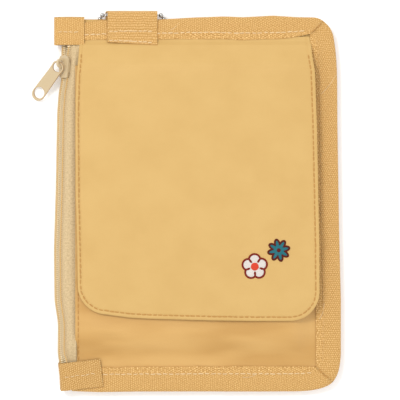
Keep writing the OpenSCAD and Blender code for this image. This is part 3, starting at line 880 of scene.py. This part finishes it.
# the pull in its own plane, hanging down from the hinge: plate, eye and hole
PULL = 23.3
plate = [(3.3, -2.2)] + oval(3.3, 2.6, -2.2, np.linspace(8, 172, 21)) + [(-3.3, -2.2), (-3.1, -5.6)]
plate += oval(3.5, 3.5, 3.5 - PULL, np.linspace(0, -180, 25))[::-1] + [(3.1, -5.6)]
eye = oval(2.5, 2.15, -2.55, np.arange(0, 181, 12)) + oval(2.5, 2.5, -2.55, np.arange(192, 360, 12))
hole = oval(2.9, 2.9, 4.2 - PULL, np.arange(0, 360, 10))
cu = bpy.data.curves.new("zip_pull_plate", "CURVE")
cu.dimensions = "2D"
cu.fill_mode = "BOTH"
cu.extrude = 0.3 * MM
cu.bevel_depth = 0.2 * MM
cu.bevel_resolution = 3
cu.offset = -0.2 * MM
for ring in (plate, eye, hole):
    s = cu.splines.new("POLY")
    s.points.add(len(ring) - 1)
    for q, p in zip(s.points, ring):
        q.co = (p[0] * MM, p[1] * MM, 0, 1)
    s.use_cyclic_u = True
pc = add("pull_curve", cu)
bpy.context.view_layer.update()
pm = bpy.data.meshes.new_from_object(pc.evaluated_get(bpy.context.evaluated_depsgraph_get()))
bpy.data.objects.remove(pc)
pull = add("zip_pull_plate", pm)
pm.materials.clear()
pm.materials.append(M_PULL)
# from its own plane to where it hangs in the slider's crown
HINGE = Vector((-68.99166, 71.22958, 7.757716))
R = (Matrix.Rotation(-LEAN, 4, "Z") @ Matrix.Rotation(LEAN - math.radians(37), 4, "Z")
     @ Matrix.Rotation(math.radians(17.3), 4, "X") @ Matrix.Rotation(math.radians(-15), 4, "Y"))
pm.transform(Matrix.Translation(HINGE * MM) @ R)
pm.polygons.foreach_set("use_smooth", [False] * len(pm.polygons))
settle(pull, "pull", "enamel", "zip_pull")


# ---------- grosgrain tabs over the zip's ends ----------
def folded(name, node, pts, y0, y1, mat, turn=0.0, about=(0, 0), seed=1):
    """A strip folded round the edge, turned about a point; its lower half turns less."""
    half = 23
    sec, total = section(pts, 2 * half, 2)
    ys = np.linspace(y0, y1, 22)
    P = np.zeros((len(ys), len(sec), 3))
    UV = np.zeros((len(ys), len(sec), 2))
    c, s = math.cos(math.radians(turn)), math.sin(math.radians(turn))
    for i, y in enumerate(ys):
        for j, (x, z) in enumerate(sec):
            other, k = (0, 1.0) if j < half else (5, 0.3)
            w = 0.18 * noise.noise(Vector((x / 7.0, y / 5.0, seed + other)))
            dx, dy = x - about[0], y - about[1]
            P[i, j] = (about[0] + c * dx - s * dy * k, about[1] + s * dx * k + c * dy, z + w)
        UV[i, :, 0] = np.linspace(0, total, len(sec))
        UV[i, :, 1] = y
    o = shell(name, P, UV, 0.55, mat)
    settle(o, "pouch", "grosgrain", node)
    # the front layer's section half way along, from left to right
    row = P[11, :20][::-1]
    return row[:, 0], row[:, 2]


pts = [(-57.2, 6.55), (-60, 6.55), (-63.3, 7.3), (-69.5, 7.3), (-71.7, 6.5), (-72.4, 4.95), (-71.7, 3.4)]
pts += [(-69.5, 2.6), (-63.3, 2.6), (-60, 3.3), (-57.6, 3.4)]
face = folded("zip_tab_top_fold", "zip_tab_top", pts, 80.4, 94.4, M_GROS, seed=2)
x = np.linspace(-70.5, -58.4, 40)
line = points(x, np.full_like(x, 86.9), np.interp(x, *face) + 0.3)
stitches("zip_tab_top_stitches", "grosgrain", line, M_STITCH_L, 2.6, 2.0, 0.22, uneven=0.8)
pts = [(-48.4, 6.5), (-56, 6.5), (-61, 6.75), (-64, 7.3), (-67.4, 7.2), (-69.3, 6.3), (-69.9, 4.95)]
pts += [(-69.3, 3.6), (-67.4, 2.7), (-64, 2.6), (-60.5, 3.35), (-48.75, 3.4)]
TURN = 6.5
face = folded("zip_tab_bottom_fold", "zip_tab_bottom", pts, -91.9, -78.0, M_TAB, TURN, (-59, -84.9), 6)
x = np.linspace(-67, -50, 50)
y = -85.0 + (x + 59) * math.sin(math.radians(TURN)) + 0.3 * np.sin(x * 0.9)
line = points(x, y, np.interp(x, *face) + 0.32)
stitches("zip_tab_bottom_stitches", "grosgrain", line, M_STITCH_L, 2.6, 2.0, 0.22, uneven=0.8)

# ---------- webbing loop ----------
WEB = [
    (81.0, 6.95), (83.0, 6.55), (87.0, 6.4), (92.4, 6.5), (94.4, 6.85), (95.9, 6.75), (96.95, 6.1),
    (97.4, 4.9), (96.95, 3.7), (95.9, 3.05), (94.4, 3.0), (92.4, 3.4), (87.2, 3.45), (81.6, 3.45),
]
WEB_SEAM = 87.2
sec, total = section(WEB, 60, 2)
wide = np.linspace(0, 1, 40)
P = np.zeros((len(wide), len(sec), 3))
UV = np.zeros((len(wide), len(sec), 2))
for i, q in enumerate(wide):
    for j, (y, z) in enumerate(sec):
        # the layer behind is a little to the left, and the front end is sewn on askew
        low = float(smooth(4.9 - z))
        x = -45.6 + 25 * q - 1.1 * low
        tilt = (x + 33.2) / 12.5 * -0.75 * float(smooth((86 - y) / 5)) * (1 - low)
        w = 0.14 * noise.noise(Vector((x / 6.0, y / 6.0, 3.0 + 4 * low)))
        groove = -0.5 * dip(y - WEB_SEAM, 0.5) if z > 4.9 else 0.0
        P[i, j] = (x, y + tilt, z + w + groove)
        UV[i, j] = (j * total / (len(sec) - 1), x)
web = shell("webbing_loop_web", P, UV, 0.6, M_WEB)
settle(web, "pouch", "grosgrain", "webbing_loop")
x = np.linspace(-44.9, -21.4, 50)
for k, at in enumerate((WEB_SEAM, 82.4)):
    row = P[:, int(np.argmin(np.abs(sec[: len(sec) // 2, 0] - at)))]
    line = points(x, np.interp(x, row[:, 0], row[:, 1]), np.interp(x, row[:, 0], row[:, 2]) + 0.32)
    stitches("webbing_stitches_%d" % k, "grosgrain", line, M_STITCH_L, 2.4, 2.1, 0.3, uneven=0.9)

# ---------- flap ----------
# its left, right, lower and sewn upper edges, and the radii of its two lower corners
FL, FR, FB, FT = -59.75, 60.2, -57.5, 84.6
RL, RR = 15.5, 14.5
# the outline that its seam follows, which leaves the upper edge out
FLAP = (FL, FR, FB, FT + 40, (RL, RR, 0, 0))
# height of the flap's underside along Y
UNDER = ([-60, 65.0, 67.5, 70.5, 74, 78, 80.4, 81.2, 82.2, 83.2, 84.6],
         [11.12, 11.12, 11.05, 10.35, 9.0, 7.35, 6.5, 5.85, 5.3, 5.12, 5.08])
# how far its left, right and lower edges are from straight
LEFT = ([-58, -42, -22, 8, 38, 53, 64, 74, 85], [0.3, -0.45, -0.7, -1.4, -1.55, -1.45, -1.0, -0.2, 0.5])
RIGHT = ([-58, -20, 18, 40, 50, 61, 67, 75, 83, 85],
         [0.2, 0.0, -0.75, -1.2, -1.6, -1.9, -2.2, -3.4, -4.1, -4.3])
LOWER = ([-60, -52, -46, -42, -34, -24, 6, 25], [1.9, 2.5, 3.1, 2.6, 1.6, 1.1, 0.3, 0.0])


def under(y):
    return np.interp(y, *UNDER)


def flap_at(X, Y, Z):
    """A place on the flap, moved as its uneven edges are."""
    left = np.interp(Y, *LEFT) * smooth((0 - X) / 60)
    right = np.interp(Y, *RIGHT) * smooth(X / 60)
    return points(X + left + right, Y + np.interp(X, *LOWER) * smooth((-18 - Y) / 38), Z)


def flap_top(X, Y):
    """Height of the flap's face, with its seam's groove and the rolled edge outside it."""
    d = inset_of(X, Y, *FLAP)
    z = under(Y) + 0.55
    free = smooth((74 - Y) / 10)
    wavy = 0.20 * ripples(X, Y, 38, 30, 21) + 0.08 * ripples(X, Y, 13, 11, 22)
    z = z + free * smooth((d - 2) / 8) * wavy
    z = z - 0.26 * dip(d - 1.8, 0.45) + 0.10 * dip(d - 0.85, 0.5)
    return z - 0.45 * np.clip(0.55 - d, 0, 0.55)


near = [0, 0.12, 0.3, 0.55, 0.85, 1.2, 1.5, 1.8, 2.1, 2.5, 3.2, 4.2, 5.5, 7.2]
low = spacing(FB, FT, near, 2.2)
ys = np.unique(np.round(np.r_[low[low < 61.8], np.arange(62, FT, 0.45), FT], 4))
X, Y = np.meshgrid(spacing(FL, FR, near, 2.2), ys, indexing="ij")
Xr, Yr = rounded(X, Y, *FLAP)
flap = shell("flap_cloth_outer", flap_at(Xr, Yr, flap_top(Xr, Yr) - 0.2), points(X, Y), 0.4, M_FLAP)
# the lining is cut a little smaller
IN = 0.7
near = [0, 0.4, 1.0, 1.6, 2.4]
ys = np.unique(np.round(np.r_[spacing(FB + IN, 61, near, 3.0), np.arange(61, 83.4, 0.6)], 4))
X, Y = np.meshgrid(spacing(FL + IN, FR - IN, near, 3.0), ys, indexing="ij")
Xr, Yr = rounded(X, Y, FL + IN, FR - IN, FB + IN, FT + 40, (RL - IN, RR - IN, 0, 0))
Z = np.minimum(flap_top(Xr, Yr) - 0.55, under(Yr) + 0.25)
lin = shell("flap_cloth_lining", flap_at(Xr, Yr, Z), points(X, Y), 0.26, M_LINING)
for o, node, slot, flat, on in (
    (flap, "flap_outer", "flap_cloth", (0.120, 0.1425), "front_panel_cloth"),
    (lin, "flap_lining", "lining", (0.1185, 0.141), "flap_cloth_outer"),
):
    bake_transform(o)
    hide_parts(node)


def arc(cx, cy, rx, ry, a0, a1, n):
    """The flap's seam round one corner."""
    return [(cx + rx * math.cos(t), cy + ry * math.sin(t)) for t in np.radians(np.linspace(a0, a1, n))]


# topstitch round the flap, D from its edge and a little less on the left
D, DL = 1.8, 1.35
pts = [(FL + DL, y) for y in np.linspace(76, FB + RL, 90)]
pts += arc(FL + RL, FB + RL, RL - DL, RL - D, 183, 268, 15)
pts += [(x, FB + D) for x in np.linspace(FL + 16, FR - 15, 70)]
pts += arc(FR - RR, FB + RR, RR - D, RR - D, 270, 360, 16)
pts += [(FR - D, y) for y in np.linspace(FB + 15, 76, 90)]
x, y = np.array(pts).T
line = flap_at(x, y, flap_top(x, y))
stitches("flap_topstitches", "flap_cloth", line, M_STITCH, 2.7, 2.2, 0.27,
         sink=0.04, uneven=0.6, body="flap")


def patch(name, node, box, z0, z1, up, body, seed):
    """Half of a hook and loop fastener: small tufts on a backing, facing up (1) or down (-1)."""
    x0, x1, y0, y1 = box
    rng = np.random.default_rng(seed)
    lo, hi = (z0, z0 + 0.2) if up > 0 else (z1 - 0.2, z1)
    base = hi if up > 0 else lo
    h = z1 - z0 - 0.24
    X, Y = np.meshgrid(spacing(x0, x1, [0, 0.3], 3.0), spacing(y0, y1, [0, 0.3], 3.0), indexing="ij")
    backing = [points(X, Y, np.full(X.shape, z)).reshape(-1, 3) for z in (hi, lo)]
    parts = [(np.concatenate(backing), grid_faces(*X.shape, 0, True) + grid_faces(*X.shape, X.size))]
    for gx in np.arange(x0 + 0.7, x1 - 0.4, 1.1):
        for gy in np.arange(y0 + 0.7, y1 - 0.4, 1.1):
            a = rng.uniform(0, 6.28)
            c, s = math.cos(a) * 0.22, math.sin(a) * 0.22
            foot, knee = base - up * 0.05, base + up * h * 0.7
            loop = [(gx - c, gy - s, foot), (gx - c, gy - s, knee), (gx, gy, base + up * h)]
            loop += [(gx + c, gy + s, knee), (gx + c, gy + s, foot)]
            parts.append(tube_mesh(loop, 0.09, 4, up=(s, -c, 0.01)))
    V, F = joined(parts)
    settle(piece(name, V, F, M_FUZZ, cloth=V), body, "hook_and_loop", node)


patch("pocket_loop_pile", "pocket_loop_patch", (-12, 12, -50, -34), 9.84, 10.28, 1, "pouch", 5)
patch("flap_hook_pile", "flap_hook_patch", (-11, 11, -49, -35), 10.6, 11.05, -1, "flap", 6)


# ---------- embroidered flowers ----------
def dome(cx, cy, rx, h, z0, turn=0.0, ry=None):
    """A low dome of thread: verts, faces and the places across its strands."""
    ry = ry or rx
    rings, sides = 6, 24
    V, C = [(cx, cy, z0 + h)], [(0, 0, 0)]
    ct, st = math.cos(turn), math.sin(turn)
    for i in range(1, rings + 1):
        q = i / rings
        z = z0 + h * math.sqrt(max(0.0, 1 - q ** 2.6))
        for j in range(sides):
            a = 2 * math.pi * j / sides
            x, y = rx * q * math.cos(a), ry * q * math.sin(a)
            V.append((cx + x * ct - y * st, cy + x * st + y * ct, z))
            C.append((y, x, 0))
    F = [(0, 1 + j, 1 + (j + 1) % sides) for j in range(sides)]
    for i in range(rings - 1):
        for j in range(sides):
            a, b = 1 + i * sides + j, 1 + i * sides + (j + 1) % sides
            F.append((a, a + sides, b + sides, b))
    F.append(tuple(1 + (rings - 1) * sides + j for j in range(sides))[::-1])
    return np.array(V), F, np.array(C)


def satin(name, domes, mat, node, slot):
    """Domes of one thread as one piece."""
    mesh = joined([(v, f) for v, f, _ in domes])
    settle(piece(name, *mesh, mat, cloth=np.concatenate([c for _, _, c in domes])), "flap", slot, node)


def outline(cx, cy, n, at, rx, ry, turn):
    """The line round a ring of oval petals: at each direction, the furthest petal edge."""
    ang = np.linspace(0, 2 * math.pi, 48 * n, endpoint=False)
    far = np.full_like(ang, 0.4)
    rx, ry = rx + 0.12, ry + 0.12
    for i in range(n):
        d = (ang - math.radians(turn + i * 360 / n) + math.pi) % (2 * math.pi) - math.pi
        A = (np.cos(d) / rx) ** 2 + (np.sin(d) / ry) ** 2
        B = at * np.cos(d) / rx ** 2
        q = B * B - A * (at * at / rx ** 2 - 1)
        hit = np.where((q > 0) & (np.abs(d) < math.pi / 2), (B + np.sqrt(np.maximum(q, 0))) / A, 0)
        far = np.maximum(far, hit)
    return cx + far * np.cos(ang), cy + far * np.sin(ang)


def flower(tag, cx, cy, n, at, rx, ry, turn, rc, wire, mid, spokes, mats, slots):
    """n petals of rx by ry, at from the middle. mid, rc and wire: radii of disc, centre and outline."""
    z0 = float(flap_top(np.array([[cx]]), np.array([[cy]]))[0, 0]) - 0.12
    domes = []
    for i in range(n):
        a = math.radians(turn + i * 360 / n)
        domes.append(dome(cx + at * math.cos(a), cy + at * math.sin(a), rx, 0.38, z0, turn=a, ry=ry))
    domes.append(dome(cx, cy, mid, 0.36, z0))
    satin(tag + "_petals_thread", domes, mats[0], tag + "_petals", slots[0])
    x, y = outline(cx, cy, n, at, rx, ry, turn)
    line = points(x, y, z0 + 0.22 + 0.05 * np.sin(np.arange(len(x)) * 1.7))
    parts = [tube_mesh(line, wire, closed=True, squash=0.7)]
    if spokes:
        r = np.linspace(*spokes, 7)
        w = wire * np.array([0.9, 1.15, 1.3, 1.2, 1, 1, 1])
        for i in range(n):
            a = math.radians(turn + (i + 0.5) * 360 / n)
            spoke = points(cx + r * math.cos(a), cy + r * math.sin(a), np.full_like(r, z0 + 0.26))
            parts.append(tube_mesh(spoke, w, squash=0.7))
    settle(piece(tag + "_outline_thread", *joined(parts), mats[1]), "flap", slots[1], tag + "_outline")
    centre = [dome(cx, cy, rc, 0.52, z0 + 0.1)]
    satin(tag + "_centre_thread", centre, mats[2], tag + "_centre", slots[2])


T_WHITE = thread("thread_white", (0.80, 0.74, 0.68), 0.55)
T_MAROON = thread("thread_maroon", (0.20, 0.014, 0.008), spec=0.1)
T_RED = thread("thread_red", (0.76, 0.055, 0.02), 0.5)
T_TEAL = thread("thread_teal", (0.012, 0.165, 0.20), 0.5)
T_DARK = thread("thread_dark", (0.105, 0.012, 0.007), spec=0.1)
flower("white_flower", 28.1, -30.5, 5, 3.4, 2.75, 2.75, 92, 2.25, 0.46, 1.8, (2.5, 5.2),
       (T_WHITE, T_MAROON, T_RED), ("thread_white", "thread_maroon", "thread_red"))
flower("teal_flower", 40.05, -22.35, 8, 3.1, 2.2, 1.02, 13, 1.15, 0.48, 3.0, None,
       (T_TEAL, T_DARK, T_DARK), ("thread_teal", "thread_dark", "thread_dark"))

# ---------- stage, in metres ----------
HALF = 3.0
fm = bpy.data.meshes.new("floor")
square = [(-HALF, -HALF, 0), (HALF, -HALF, 0), (HALF, HALF, 0), (-HALF, HALF, 0)]
fm.from_pydata(square, [], [(0, 1, 2, 3)])
floor = add("floor", fm)
white = Mat("floor_white", 0.9)
white.b.inputs["Base Color"].default_value = (0.93, 0.93, 0.93, 1)
white.b.inputs["Emission Color"].default_value = (1, 1, 1, 1)
white.b.inputs["Emission Strength"].default_value = 0.16
fm.materials.append(white.m)
world = bpy.data.worlds.new("world")
bpy.context.scene.world = world
world.use_nodes = True
sky = world.node_tree.nodes["Background"].inputs
sky["Color"].default_value = (1, 1, 1, 1)
sky["Strength"].default_value = 0.85


def area(name, loc, size, power):
    """A square lamp that looks at the origin."""
    d = bpy.data.lights.new(name, "AREA")
    d.shape = "SQUARE"
    d.size = size
    d.energy = power
    o = add(name, d)
    o.location = loc
    o.rotation_euler = (-Vector(loc)).to_track_quat("-Z", "Y").to_euler()


area("key", (-0.5, 0.5, 1.1), 0.34, 6.9)
area("fill", (0.9, -0.6, 1.1), 1.0, 4.0)
